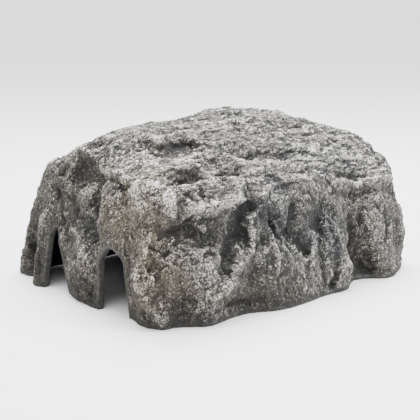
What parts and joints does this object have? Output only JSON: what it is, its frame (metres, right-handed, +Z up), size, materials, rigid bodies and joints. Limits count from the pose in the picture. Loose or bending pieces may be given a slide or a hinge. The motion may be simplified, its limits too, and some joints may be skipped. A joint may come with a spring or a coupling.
{
  "type": "resin cave ornament",
  "caption": "Hollow moulded resin rock with an open foot and two arched doors in one end, a cave or cover for a pond or large tank.",
  "frame": {"origin": "on the floor, at the middle of the rock's length and depth", "axes": "+X along the long front, away from the end with the doors; +Y from the front to the rear; +Z up"},
  "size_m": [0.6092, 0.4598, 0.2874],
  "materials": {
    "stone_coat": "painted stone-grey resin, dry-brushed off-white on the high spots, charcoal in the hollows, matt",
    "laminate": "black pigmented polyester resin over chopped glass mat, rough satin",
    "rim_resin": "dark grey filled resin, trimmed flat underneath, matt",
    "door_lip": "smooth grey resin, matt"
  },
  "bodies": {
    "root": {"stone_skin": "stone_coat", "front_laminate": "laminate", "right_end_laminate": "laminate", "rear_laminate": "laminate", "left_end_laminate": "laminate", "crown_laminate": "laminate", "front_rim": "rim_resin", "right_end_rim": "rim_resin", "rear_rim": "rim_resin", "rear_pillar_foot": "rim_resin", "centre_pillar_foot": "rim_resin", "near_pillar_foot": "rim_resin", "front_door_lip": "door_lip", "rear_door_lip": "door_lip"}
  },
  "joints": []
}
